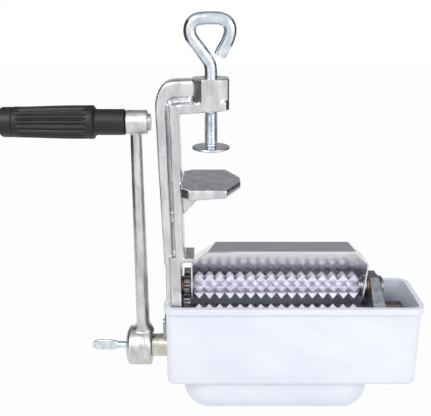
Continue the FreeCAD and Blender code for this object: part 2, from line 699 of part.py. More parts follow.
def make_grip():
    y, z = "crank_y", "crank_z + crank_radius"
    grip_end = "(end_boss_inner - end_boss_length - 0.3 - grip_length)"
    neck = rod("grip_neck", grip_end + " + grip_length - grip_neck_length - 1",
               "grip_neck_length + 1", "grip_neck_radius", y, z)
    barrel = doc.addObject("Part::Cone", "grip_barrel")
    barrel.Placement.Rotation = FreeCAD.Rotation(V(0, 1, 0), 90)
    bind(barrel, {"Radius1": "grip_end_radius", "Radius2": "grip_radius",
                  "Height": "grip_length - grip_neck_length", **at(grip_end, y, z)})
    hole = rod("grip_bore", grip_end + " - 1", "grip_length + 2",
               "spindle_radius + 1.6 * running_gap", y, z)
    tools = [hole]
    for k in range(int(size("grip_flutes"))):
        turn = "(%d * 360 deg / grip_flutes)" % k
        flute = rod("flute_%d" % k, grip_end + " + 5", "grip_length - grip_neck_length - 10",
                    "flute_radius", y + " + (grip_radius + 0.2) * cos" + turn,
                    z + " + (grip_radius + 0.2) * sin" + turn)
        tools.append(flute)
    body = cut("grip_part", joined("grip_outside", [neck, barrel]), joined("grip_tools", tools))
    node(body, "grip")
    cap = rod("cap_outside", grip_end + " - grip_cap_length", "grip_cap_length",
              "grip_cap_radius", y, z)
    hollow = rod("cap_hollow", grip_end + " - grip_cap_length + 3", "grip_cap_length",
                 "spindle_head_radius + 1", y, z)
    node(cut("cap_part", cap, hollow), "grip_end_cap")
    shank = rod("spindle_shank", grip_end + " - 3.5",
                "grip_length + 3.8 + end_boss_length", "spindle_radius", y, z)
    head = rod("spindle_rivet", "end_boss_inner", "spindle_head", "spindle_head_radius", y, z)
    node(joined("spindle_part", [shank, head]), "grip_spindle")
    make_ring("spindle_ring", (y, z), grip_end + " - 1.6", "spindle_radius + fixed_gap",
              "spindle_head_radius")


# ---------------------------------------------------------------- clamp screw and pad

def rounded_wire(points, radius):
    """A path of straight runs joined by tangent arcs of one radius."""
    edges = []
    last = points[0]
    for before, corner, after in zip(points, points[1:], points[2:]):
        first = (before - corner).normalize()
        second = (after - corner).normalize()
        half = first.getAngle(second) / 2
        reach = radius / math.tan(half)
        start = corner + first * reach
        end = corner + second * reach
        middle = (first + second).normalize()
        top = corner + middle * (radius / math.sin(half) - radius)
        edges.append(Part.makeLine(last, start))
        edges.append(Part.Arc(start, top, end).toShape())
        last = end
    edges.append(Part.makeLine(last, points[-1]))
    return Part.Wire(edges)


def make_clamp_screw():
    """One bent rod: a threaded stem, a rounded loop and a free end beside the neck."""
    radius = size("screw_radius")
    start = size("loop_start")
    wide, high = size("loop_half_width"), size("loop_height")
    foot = size("screw_foot")
    rod_radius = size("loop_rod_radius")
    path = [V(0, 0, start), V(0, 0, start + 5), V(-wide - 1.5, 0, start + 0.68 * high),
            V(-wide * 0.72, 0, start + high), V(wide * 0.72, 0, start + high),
            V(wide + 1.5, 0, start + 0.68 * high), V(2.25 * rod_radius, 0, start + 2.4 * rod_radius)]
    wire = rounded_wire(path, size("loop_corner") - 2.5)
    section = Part.Wire(Part.Circle(path[0], V(0, 0, 1), rod_radius).toShape())
    loop = wire.makePipeShell([section], True, False)
    stem = Part.makeCylinder(radius, start - foot + 1, V(0, 0, foot))
    under = size("pad_underside")
    pin = Part.makeCylinder(size("pin_radius"), foot - under, V(0, 0, under + 0.1))
    head = Part.makeCylinder(size("pin_radius") + 1.6, 0.7, V(0, 0, under + 0.1))
    screw = stem.fuse([loop, pin, head]).removeSplitter()
    node(shaped("clamp_screw_part", screw), "clamp_screw")


def make_pad():
    disc = post("pad_disc", "0", "0", "pad_underside", "pad_thickness", "pad_radius")
    hole = post("pad_hole", "0", "0", "pad_underside - 1", "pad_thickness + 2",
                "pin_radius + running_gap")
    recess = post("pad_recess", "0", "0", "pad_underside - 1", "2.1", "pin_radius + 1.9")
    node(cut("pad_part", disc, joined("pad_tools", [hole, recess])), "clamp_pad")


# ---------------------------------------------------------------- tie rods

def make_tie_rods():
    for name in ("tie_upper", "tie_lower"):
        y, z = name + "_y", name + "_z"
        end = "nut_end - 2" if name == "tie_upper" else "plate_face + plate_thickness + 8"
        bar = rod(name + "_bar", "housing_left + 2.6", end + " - housing_left - 2.6",
                  "tie_radius", y, z)
        node(bar, "tie_rod_upper" if name == "tie_upper" else "tie_rod_lower")
    seat = "(plate_face + plate_thickness)"
    nut = rod("cap_nut_body", seat, "nut_end - " + seat, "nut_radius + 1", "tie_upper_y", "tie_upper_z")
    hole = rod("cap_nut_bore", seat + " - 1", "nut_end - 2 + 1 - " + seat,
               "tie_radius + fixed_gap", "tie_upper_y", "tie_upper_z")
    node(cut("cap_nut_part", nut, hole), "tie_cap_nut")
    nut = doc.addObject("Part::Prism", "hex_nut_body")
    nut.Polygon = 6
    nut.Placement.Rotation = FreeCAD.Rotation(V(0, 1, 0), 90)
    bind(nut, {"Circumradius": "tie_radius * 1.85", "Height": "6.5",
               **at(seat, "tie_lower_y", "tie_lower_z")})
    hole = rod("hex_nut_bore", seat + " - 1", "9", "tie_radius + fixed_gap",
               "tie_lower_y", "tie_lower_z")
    node(cut("hex_nut_part", nut, hole), "tie_hex_nut")


# ---------------------------------------------------------------- hood

def clipped(solid, point, outward):
    """A solid without what lies beyond a plane."""
    reach = 600
    beyond = Part.makeBox(reach, reach, reach, V(-reach / 2, -reach / 2, 0))
    beyond.Placement = FreeCAD.Placement(point, FreeCAD.Rotation(V(0, 0, 1), outward))
    return solid.cut(beyond)


def hood_form(inset, front, bottom):
    """The hood's outline with every sheet drawn in by an inset, as a closed solid."""
    rear = size("plate_back") + size("sheet") - inset
    roof, shoulder, low = size("hood_roof"), size("hood_shoulder"), size("hood_bottom")
    brow, lip = size("hood_front"), size("hood_lip")
    left, right = size("hood_left_wall"), size("hood_right_wall")
    profile = [V(0, rear, roof - inset), V(0, brow - front, roof - inset),
               V(0, lip - front, shoulder), V(0, lip - front - 2, low + size("hood_foot_lift") - bottom),
               V(0, rear, low - bottom)]
    form = Part.Face(Part.makePolygon(profile + profile[:1])).extrude(V(right - left + 40, 0, 0))
    form.translate(V(left - 20, 0, 0))
    sides = ((left, -1, size("hood_left_back"), size("hood_left_front"), 0),
             (right, 1, size("hood_right_back"), size("hood_right_front"), size("hood_right_lean")))
    for wall, side, back, fore, lean in sides:
        upright = V(side, 0, -side * lean / (shoulder - low)).normalize()
        form = clipped(form, V(wall, 0, low) - upright * inset, upright)
        corner = V(wall + lean, lip, shoulder)
        across = V(fore, brow, roof) - V(back, rear + inset, roof)
        outward = across.cross(corner - V(back, rear + inset, roof)).normalize()
        outward = outward if outward.z > 0 else outward * -1
        form = clipped(form, corner - outward * inset, outward)
    return form


def make_hood():
    """Bent sheet: roof, slanted brows, side walls, and a back wall with two ears."""
    sheet_size = size("sheet")
    rear = size("plate_back") + sheet_size
    hood = hood_form(0, 0, 0).cut(hood_form(sheet_size, 30, 30))
    low = size("ear_centre") - size("ear_height") / 2
    ear_left = size("housing_left") + 1
    ear_right = size("plate_face") + size("plate_back_thickness")
    ears = Part.makeBox(ear_right - ear_left, sheet_size, size("ear_height"),
                        V(ear_left, rear - sheet_size, low))
    hood = hood.fuse(ears).removeSplitter()
    across, up = centre(UPPER)
    relief = size("roller_core_radius") + 0.8
    start, length = ear_left - 20, ear_right - ear_left + 40
    slot = Part.makeCylinder(relief, length, V(start, across, up), V(1, 0, 0))
    slot = slot.fuse(Part.makeBox(length, 2 * relief, 30, V(start, across - relief, up - 30)))
    tools = [slot]
    screw = size("hood_screw_radius") + size("fixed_gap")
    for x in hood_screw_places():
        tools.append(Part.makeCylinder(screw, 10, V(x, rear - 5, size("ear_centre")), V(0, 1, 0)))
    node(shaped("hood_part", hood.cut(tools).removeSplitter()), "hood")


def hood_screw_places():
    return (size("housing_face") - size("hood_screw_inset"),
            size("plate_face") + size("plate_back_thickness") / 2)


def make_screws():
    """Two hood screws through the ears, and one for each tray clip."""
    seat = "plate_back + sheet"
    screws = []
    places = (("left_ear", "housing_face - hood_screw_inset"),
              ("right_ear", "plate_face + plate_back_thickness / 2"))
    for name, x in places:
        shank = pin_back(name + "_shank", x, seat + " - 8.5", "ear_centre", "9",
                         "hood_screw_radius")
        head = pin_back(name + "_head", x, seat, "ear_centre", "2.2", "hood_screw_radius * 1.9")
        screws.append(joined(name + "_screw", [shank, head]))
    pair = doc.addObject("Part::Compound", "hood_screw_pair")
    pair.Links = screws
    node(pair, "hood_screws")


# ---------------------------------------------------------------- tray and clips

def tray_form(name, inset, top):
    """Rounded box with a rounded trough below it, drawn in by an inset."""
    body = new_body(name)
    left, right = "tray_left + " + inset, "tray_right - " + inset
    half = "(tray_half_depth - %s)" % inset
    low = "tray_bottom + " + inset
    plan = polygon(body, name + "_plan", "XY_Plane", [
        (left, "-" + half), (right, "-" + half), (right, half), (left, half)], low)
    pad(body, plan, top + " - (%s)" % low)
    upright = V(0, 0, 1)
    fillet(body, name + "_corners", "tray_corner - " + inset,
           lambda edge: runs_along(edge, upright))
    lowest = body.Tip.Shape.BoundBox.ZMin
    fillet(body, name + "_edges", "tray_edge - " + inset,
           lambda edge: near(edge.BoundBox.ZMax, lowest))
    left, right = "bulge_left + " + inset, "bulge_right - " + inset
    half = "(bulge_half_depth - %s)" % inset
    plan = polygon(body, name + "_trough", "XY_Plane", [
        (left, "-" + half), (right, "-" + half), (right, half), (left, half)],
        "bulge_bottom + " + inset)
    pad(body, plan, "tray_bottom - bulge_bottom")
    doc.recompute()
    floor = body.Shape.BoundBox.ZMin
    fillet(body, name + "_trough_corners", "bulge_corner - " + inset,
           lambda edge: runs_along(edge, upright) and near(edge.BoundBox.ZMin, floor))
    fillet(body, name + "_trough_edges", "bulge_edge - " + inset,
           lambda edge: near(edge.BoundBox.ZMax, floor))
    return body


def make_tray():
    """Moulded tray: rounded box, rim band, trough below and a notch for the sleeve."""
    outside = tray_form("tray_outside", "0", "tray_rim")
    inside = tray_form("tray_inside", "tray_wall", "(tray_rim + 5)")
    band = rim_outline()
    y, z = CRANK
    reach = "(sleeve_radius + notch_gap)"
    start = "tray_left - rim_flare - 1"
    across = "tray_wall + rim_flare + 3"
    slot = block("notch_slot", (start, y + " - " + reach, z),
                 (across, "2 * " + reach, "tray_rim + 1 - " + z))
    seat = rod("notch_round", start, across, reach, y, z)
    shell = joined("tray_walls", [cut("tray_shell", outside, inside), band])
    node(cut("tray_part", shell, joined("notch", [slot, seat])), "tray")


def rim_outline():
    """A band that stands proud of the walls all round the rim."""
    body = new_body("rim_body")
    sketch = new_sketch(body, "rim_band", "XY_Plane", "tray_rim - rim_height")
    for flare in ("rim_flare", "-0.3"):
        add_rounded_rectangle(sketch, "tray_left - (%s)" % flare, "tray_right + (%s)" % flare,
                              "tray_half_depth + (%s)" % flare, "tray_corner + (%s)" % flare)
    pad(body, sketch, "rim_height")
    return body


def add_rounded_rectangle(sketch, low, high, half, radius):
    """Four lines and four tangent arcs, placed by their ends' named distances."""
    first = sketch.GeometryCount
    inner = {"left": "(%s) + (%s)" % (low, radius), "right": "(%s) - (%s)" % (high, radius),
             "bottom": "(%s) - (%s)" % (radius, half), "top": "(%s) - (%s)" % (half, radius)}
    ends = [((inner["left"], "-(%s)" % half), (inner["right"], "-(%s)" % half)),
            ((high, inner["bottom"]), (high, inner["top"])),
            ((inner["right"], half), (inner["left"], half)),
            ((low, inner["top"]), (low, inner["bottom"]))]
    rough = [(V(-10, -20, 0), V(10, -20, 0)), (V(20, -10, 0), V(20, 10, 0)),
             (V(10, 20, 0), V(-10, 20, 0)), (V(-20, 10, 0), V(-20, -10, 0))]
    centres = [V(10, -10, 0), V(10, 10, 0), V(-10, 10, 0), V(-10, -10, 0)]
    for start, end in rough:
        sketch.addGeometry(Part.LineSegment(start, end), False)
    for k, centre in enumerate(centres):
        full = Part.Circle(centre, V(0, 0, 1), 10)
        turn = math.radians(270 + 90 * k)
        sketch.addGeometry(Part.ArcOfCircle(full, turn, turn + math.pi / 2), False)
    for k, pair in enumerate(ends):
        for point, place in enumerate(pair, start=1):
            pin_point(sketch, first + k, point, place[0], place[1], rough[k][point - 1])
    for k in range(4):
        arc = first + 4 + k
        sketch.addConstraint(Sketcher.Constraint("Tangent", first + k, 2, arc, 1))
        sketch.addConstraint(Sketcher.Constraint("Coincident", arc, 2, first + (k + 1) % 4, 1))


def make_clips():
    """Spring clips that grip the tray: one in its notch, two on the right plate."""
    y = "crank_y"
    reach = "(sleeve_radius + notch_gap - clip_gap)"
    rib_face = "(column_inner - column_width + 4.4)"
    low = "clip_centre - clip_height / 2"
    whole = block("clip_whole", (rib_face + " - clip_proud", y + " - " + reach, low),
                  ("clip_proud + 3.2", "2 * " + reach, "clip_height"))
    gap = block("clip_gap_block", (rib_face, y + " - " + reach + " + sheet", low + " - 1"),
                ("9", "2 * " + reach + " - 2 * sheet", "clip_height + 2"))
    dent = block("clip_dent", (rib_face + " - 9", y + " - " + reach + " + 2 * sheet", low + " - 1"),
                 ("9 - sheet", "2 * " + reach + " - 4 * sheet", "clip_height + 2"))
    hole = rod("clip_screw_hole", rib_face + " - 5", "9", "hood_screw_radius + fixed_gap",
               "-1", "clip_centre")
    node(cut("clip_part", whole, joined("clip_tools", [gap, dent, hole])), "tray_clip_left")
    shank = rod("clip_shank", rib_face + " - sheet - 0.5", "sheet + 6", "hood_screw_radius",
                "-1", "clip_centre")
    head = rod("clip_head", rib_face + " - sheet - 2", "2", "hood_screw_radius * 1.8",
               "-1", "clip_centre")
    node(joined("clip_screw_part", [shank, head]), "tray_clip_screw")
    springs = []
    depth = "(tray_half_depth - tray_wall + plate_front - clip_gap)"
    for name, low_y in (("front", "plate_front - " + depth), ("back", "-plate_front")):
        whole = block(name + "_clip_whole", ("plate_face + 0.5", low_y, low + " - 6"),
                      ("5", depth, "clip_height"))
        hollow = block(name + "_clip_hollow", ("plate_face - 0.5", low_y + " + 0.3", low + " - 4.5"),
                       ("7", depth + " - 0.6", "clip_height - 3"))
        springs.append(cut(name + "_clip", whole, hollow))
    pair = doc.addObject("Part::Compound", "plate_clip_pair")
    pair.Links = springs
    node(pair, "tray_clips_right")


# ---------------------------------------------------------------- build and write

make_casting()
make_right_plate()
make_rollers()
make_gears()
for ring_name, ring_axis in (("upper_shaft_ring", UPPER), ("lower_shaft_ring", LOWER)):
    make_ring(ring_name, ring_axis, "(plate_boss_end + 0.1)", "journal_radius + fixed_gap",
              "(journal_radius + 2)")
make_crank_shaft()
make_ring("crank_shaft_ring", CRANK, "(gear_start + gear_width + 0.3)",
          "crank_shaft_radius + fixed_gap", "(crank_shaft_radius + 2.4)")
make_crank_arm()
make_thumb_screw()
make_grip()
make_clamp_screw()
make_pad()
make_tie_rods()
make_hood()
make_screws()
make_tray()
make_clips()
doc.recompute()

for thing in doc.Objects:
    if "Invalid" in thing.State or "Error" in thing.State:
        raise ValueError("%s did not build: %s" % (thing.Name, thing.State))
for thing in nodes:
    if thing.Shape.isNull() or not thing.Shape.isValid() or not thing.Shape.Solids:
        raise ValueError(thing.Label + " has no valid shape")

os.makedirs("parts", exist_ok=True)
for thing in nodes:
    thing.Shape.exportStep("parts/%s.step" % thing.Label)
    box = thing.Shape.BoundBox
    print("%-22s %d solids %9.1f mm3  x %7.2f %7.2f  y %7.2f %7.2f  z %7.2f %7.2f" % (
        thing.Label, len(thing.Shape.Solids), thing.Shape.Volume,
        box.XMin, box.XMax, box.YMin, box.YMax, box.ZMin, box.ZMax))
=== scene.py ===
import json
import math

import bpy
import numpy as np
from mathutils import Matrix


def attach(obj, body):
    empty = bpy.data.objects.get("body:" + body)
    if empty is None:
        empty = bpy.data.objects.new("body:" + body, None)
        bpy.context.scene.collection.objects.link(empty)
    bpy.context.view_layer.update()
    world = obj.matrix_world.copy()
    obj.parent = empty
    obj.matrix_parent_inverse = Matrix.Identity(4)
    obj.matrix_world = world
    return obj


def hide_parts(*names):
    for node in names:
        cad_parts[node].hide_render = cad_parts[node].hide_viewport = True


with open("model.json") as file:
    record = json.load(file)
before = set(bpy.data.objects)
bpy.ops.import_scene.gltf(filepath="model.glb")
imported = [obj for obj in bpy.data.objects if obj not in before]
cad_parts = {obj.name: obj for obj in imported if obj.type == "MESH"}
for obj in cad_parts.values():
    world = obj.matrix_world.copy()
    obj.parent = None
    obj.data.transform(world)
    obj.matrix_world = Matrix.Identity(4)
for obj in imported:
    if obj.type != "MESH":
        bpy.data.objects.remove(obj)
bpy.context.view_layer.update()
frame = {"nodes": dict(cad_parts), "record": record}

MM = 0.001

# Places of the real machine's axes, in millimetres.
CRANK_Y, CRANK_Z = -4.01, -135.49
CRANK_RADIUS = 179.0
HUB_LEFT, HUB_RIGHT, HUB_RADIUS = -65.4, -46.9, 15.5
ARM_X = -53.7
BOSS_LEFT, BOSS_RIGHT, BOSS_RADIUS = -60.5, -44.8, 8.65
GRIP_LEFT, GRIP_NECK, GRIP_RIGHT = -140.2, -82.8, -60.8
GRIP_CAP_LEFT = -149.7
FLOOR_Z = -188.7


# ---------------------------------------------------------------- shapes

def shell(rings, around=True, ends=True):
    """A skin over rings of points, an array (rings, points, 3): each ring is joined to the next by quads, and an
    end ring is closed by a fan to its own middle. Faces are turned so that the enclosed volume is positive."""
    count, points = rings.shape[:2]
    index = np.arange(count * points).reshape(count, points)
    a, b = index[:-1], index[1:]
    if not around:
        quads = np.stack([a[:, :-1], a[:, 1:], b[:, 1:], b[:, :-1]], -1).reshape(-1, 4)
    else:
        quads = np.stack([a, np.roll(a, -1, 1), np.roll(b, -1, 1), b], -1).reshape(-1, 4)
    vertices = rings.reshape(-1, 3)
    faces = [list(q) for q in quads.tolist()]
    if ends:
        middles = np.stack([rings[0].mean(0), rings[-1].mean(0)])
        first, last = len(vertices), len(vertices) + 1
        vertices = np.concatenate([vertices, middles])
        low, high = index[0], index[-1]
        faces += np.stack([np.roll(low, -1), low, np.full(points, first)], -1).tolist()
        faces += np.stack([high, np.roll(high, -1), np.full(points, last)], -1).tolist()
    return outward(vertices, faces)


def outward(vertices, faces):
    """The same faces, reversed if the volume they enclose, a sum of tetrahedra from the origin, is negative."""
    triangles = np.array([f[:3] for f in faces] + [[f[0], f[2], f[3]] for f in faces if len(f) == 4])
    p, q, r = (vertices[triangles[:, k]] for k in range(3))
    volume = np.einsum("ij,ij->i", p, np.cross(q, r)).sum()
    return vertices, [f[::-1] for f in faces] if volume < 0 else faces


def turned(stations, radii, centre, turns=64, closed=False):
    """A turned shape about an X axis: at station x the ring is (x, cy + r cos t, cz + r sin t).
    radii is one number per station, or a row per station with one number per angle t.
    A closed one runs its profile back through a bore and needs no end caps."""
    angle = np.linspace(0, 2 * np.pi, turns, endpoint=False)
    stations = np.asarray(stations, float)
    radii = np.asarray(radii, float)
    if radii.ndim == 1:
        radii = radii[:, None] * np.ones(turns)
    rings = np.stack([stations[:, None] * np.ones(turns), centre[0] + radii * np.cos(angle),
                      centre[1] + radii * np.sin(angle)], -1)
    if closed:
        rings = np.concatenate([rings, rings[:1]])
    return shell(rings, ends=not closed)


def swept(path, radii, turns=32):
    """A round rod along a path in an XZ plane: ring = point + r (cos t Y + sin t (T x Y)), T the path's direction."""
    path = np.asarray(path, float)
    along = np.gradient(path, axis=0)
    along /= np.linalg.norm(along, axis=1)[:, None]
    side = np.array([0.0, 1.0, 0.0])
    other = np.cross(along, side)
    angle = np.linspace(0, 2 * np.pi, turns, endpoint=False)
    radii = np.asarray(radii, float)[:, None, None]
    rings = path[:, None] + radii * (np.cos(angle)[None, :, None] * side
                                     + np.sin(angle)[None, :, None] * other[:, None])
    return shell(rings)


def through(points, steps=8):
    """A smooth path through points: the Catmull-Rom cubic between each pair, with the ends repeated."""
    points = np.asarray(points, float)
    ghost = np.concatenate([[2 * points[0] - points[1]], points, [2 * points[-1] - points[-2]]])
    t = np.linspace(0, 1, steps, endpoint=False)[:, None]
    runs = []
    for p0, p1, p2, p3 in zip(ghost, ghost[1:], ghost[2:], ghost[3:]):
        runs.append(0.5 * (2 * p1 + (p2 - p0) * t + (2 * p0 - 5 * p1 + 4 * p2 - p3) * t ** 2
                           + (3 * p1 - p0 - 3 * p2 + p3) * t ** 3))
    return np.concatenate(runs + [points[-1:]])


def threaded(low, high, radius, pitch, depth, turns=40, steps=10):
    """A screw thread about +Z: r = radius - depth * ridge(z / pitch - t / 2 pi), ridge a rounded sawtooth that
    fades out over the last pitch at both ends."""
    count = int((high - low) / pitch * steps) + 1
    z = np.linspace(low, high, count)[:, None]
    angle = np.linspace(0, 2 * np.pi, turns, endpoint=False)[None]
    phase = z / pitch - angle / (2 * np.pi)
    ridge = np.abs((phase % 1) * 2 - 1)
    fade = np.clip(np.minimum(z - low, high - z) / pitch, 0, 1)
    radii = radius - depth * (1 - (1 - ridge) ** 1.1 * fade)
    radii[0] -= 0.6
    radii[-1] -= 0.1
    rings = np.stack([radii * np.cos(angle), radii * np.sin(angle), z * np.ones_like(angle)], -1)
    return shell(rings)


def rounded(low, high, radius, edge_low, edge_high, steps=7):
    """Profile of a drum's outside with a quarter-round at each end: stations and radii from low to high."""
    turn = np.linspace(0, np.pi / 2, steps)
    start = (low + edge_low * (1 - np.cos(turn)), radius - edge_low * (1 - np.sin(turn)))
    finish = (high - edge_high * (1 - np.sin(turn)), radius - edge_high * (1 - np.cos(turn)))
    return np.concatenate([start[0], finish[0]]), np.concatenate([start[1], finish[1]])


def smooth_step(value, low, high):
    t = np.clip((value - low) / (high - low), 0, 1)
    return t * t * (3 - 2 * t)


def make_piece(name, skins, material, body, replaced=()):
    """One piece from skins in millimetres, riding on a CAD body."""
    vertices, faces, offset = [], [], 0
    for points, loops in skins:
        vertices.append(points)
        faces += [[k + offset for k in loop] for loop in loops]
        offset += len(points)
    mesh = bpy.data.meshes.new(name)
    mesh.from_pydata((np.concatenate(vertices) * MM).tolist(), [], faces)
    mesh.update()
    return dress(bpy.data.objects.new(name, mesh), material, body, replaced)


def dress(thing, material, body, replaced):
    bpy.context.scene.collection.objects.link(thing)
    thing.data.materials.clear()
    thing.data.materials.append(material)
    thing.data.shade_smooth()
    thing.data.set_sharp_from_angle(angle=math.radians(38))
    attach(thing, body)
    if replaced:
        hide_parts(*replaced)
    return thing


def merged(node):
    """A CAD node's triangles with points closer than a micrometre made one, in millimetres."""
    mesh = frame["nodes"][node].data
    co = np.zeros(len(mesh.vertices) * 3, np.float32)
    mesh.vertices.foreach_get("co", co)
    keys, back = np.unique(np.round(co.reshape(-1, 3) * 1e6).astype(np.int64), axis=0, return_inverse=True)
    corners = np.zeros(len(mesh.loops), np.int32)
    mesh.loops.foreach_get("vertex_index", corners)
    triangles = back.reshape(-1)[corners].reshape(-1, 3)
    a, b, c = triangles.T
    return keys / 1e6 / MM, triangles[(a != b) & (b != c) & (a != c)].tolist()


def cast_copy(name, node, extra, voxel, passes, material, body):
    """A casting's skin: the CAD node's own mesh with its doubles merged, any added ribs, then one even skin of
    cells as wide as voxel millimetres, relaxed so that edges and inside corners are rounded as in a mould."""
    thing = make_piece(name, [merged(node)] + list(extra), material, body, [node])
    return moulded(thing, voxel, passes)


def turned_drum(name, node, axis, degrees, body):
    """A drum's own mesh turned about its axis, so that it rests with a row of studs at its upper outline:
    y' = c (y - ay) - s (z - az) + ay and z' = s (y - ay) + c (z - az) + az."""
    points, triangles = merged(node)
    c, s = math.cos(math.radians(degrees)), math.sin(math.radians(degrees))
    y, z = points[:, 1] - axis[0], points[:, 2] - axis[1]
    moved = np.stack([points[:, 0], c * y - s * z + axis[0], s * y + c * z + axis[1]], -1)
    thing = make_piece(name, [(moved, triangles)], FINISHES["roller_alloy"], body, [node])
    thing.data.set_sharp_from_angle(angle=math.radians(20))
    return thing


def moulded(thing, voxel, passes):
    """Melts a piece's separate skins into one and relaxes it, as a casting with fillets."""
    melt = thing.modifiers.new("one_skin", "REMESH")
    melt.mode = "VOXEL"
    melt.voxel_size = voxel * MM
    melt.use_smooth_shade = True
    relax = thing.modifiers.new("fillets", "SMOOTH")
    relax.factor = 0.5
    relax.iterations = passes
    return thing


# ---------------------------------------------------------------- materials

def linear(code, alpha=1.0):
    """An sRGB hex colour as linear numbers."""
    channels = np.array([int(code[k:k + 2], 16) for k in (1, 3, 5)]) / 255
    channels = np.where(channels <= 0.04045, channels / 12.92, ((channels + 0.055) / 1.055) ** 2.4)
    return (*channels.tolist(), alpha)


def add(tree, kind, settings=None, inputs=None):
    """Adds a node, sets its settings, and fills or links its inputs."""
    made = tree.nodes.new(kind)
    for name, value in (settings or {}).items():
        setattr(made, name, value)
    for key, value in (inputs or {}).items():
        if isinstance(value, bpy.types.NodeSocket):
            tree.links.new(value, made.inputs[key])
        else:
            made.inputs[key].default_value = value
    return made


def finish(name, shades, roughness, metallic=1.0, grain=(4, 4, 4), bump=0.03, fine=0.6, edge=0.5, pits=None,
           coat=0.0, ior=None):
    """A material whose shade, gloss and relief wander over the surface.
    shades: darkest and lightest colour. roughness: lowest and highest. grain: size of the wandering patches along
    X, Y and Z in millimetres. bump: relief in millimetres. fine: size of the small grain. edge: how wide an edge
    is worn round. pits: size and depth of casting pits. All sizes are in millimetres."""
    material = bpy.data.materials.new(name)
    material.use_nodes = True
    tree = material.node_tree
    tree.nodes.clear()
    where = add(tree, "ShaderNodeTexCoord").outputs["Object"]
    stretch = add(tree, "ShaderNodeMapping", None, {"Vector": where, "Scale": [1 / (g * MM) for g in grain]})
    patches = add(tree, "ShaderNodeTexNoise", None, {"Vector": stretch.outputs[0], "Scale": 1.0, "Detail": 3.0,
                                                     "Roughness": 0.6})
    small = add(tree, "ShaderNodeTexNoise", None, {"Vector": where, "Scale": 1 / (fine * MM), "Detail": 2.0})
    shade = add(tree, "ShaderNodeMapRange", {"interpolation_type": "SMOOTHSTEP"},
                {"Value": patches.outputs[0], "From Min": 0.32, "From Max": 0.68})
    mix = add(tree, "ShaderNodeMix", {"data_type": "RGBA"},
              {"Factor": shade.outputs[0], 6: linear(shades[0]), 7: linear(shades[1])})
    gloss = add(tree, "ShaderNodeMapRange", None,
                {"Value": patches.outputs[0], "From Min": 0.3, "From Max": 0.7, "To Min": roughness[0],
                 "To Max": roughness[1]})
    height = add(tree, "ShaderNodeMath", {"operation": "MULTIPLY_ADD"},
                 {0: small.outputs[0], 1: 0.35, 2: patches.outputs[0]}).outputs[0]
    if pits:
        cells = add(tree, "ShaderNodeTexNoise", None, {"Vector": where, "Scale": 1 / (pits[0] * MM), "Detail": 1.0})
        hole = add(tree, "ShaderNodeMapRange", None, {"Value": cells.outputs[0], "From Min": 0.30,
                                                      "From Max": 0.38, "To Min": -pits[1], "To Max": 0.0})
        height = add(tree, "ShaderNodeMath", {"operation": "ADD"}, {0: height, 1: hole.outputs[0]}).outputs[0]
    normal = add(tree, "ShaderNodeBevel", {"samples": 4}, {"Radius": edge * MM}).outputs[0] if edge else None
    relief = add(tree, "ShaderNodeBump", None, {"Height": height, "Strength": 1.0, "Distance": bump * MM})
    if normal:
        tree.links.new(normal, relief.inputs["Normal"])
    shader = add(tree, "ShaderNodeBsdfPrincipled", None,
                 {"Base Color": mix.outputs[2], "Metallic": metallic, "Roughness": gloss.outputs[0],
                  "Normal": relief.outputs[0]})
    if ior:
        shader.inputs["IOR"].default_value = ior
    if coat:
        shader.inputs["Coat Weight"].default_value = coat
        shader.inputs["Coat Roughness"].default_value = 0.06
    out = add(tree, "ShaderNodeOutputMaterial", None, {"Surface": shader.outputs[0]})
    out.location = (400, 0)
    return material


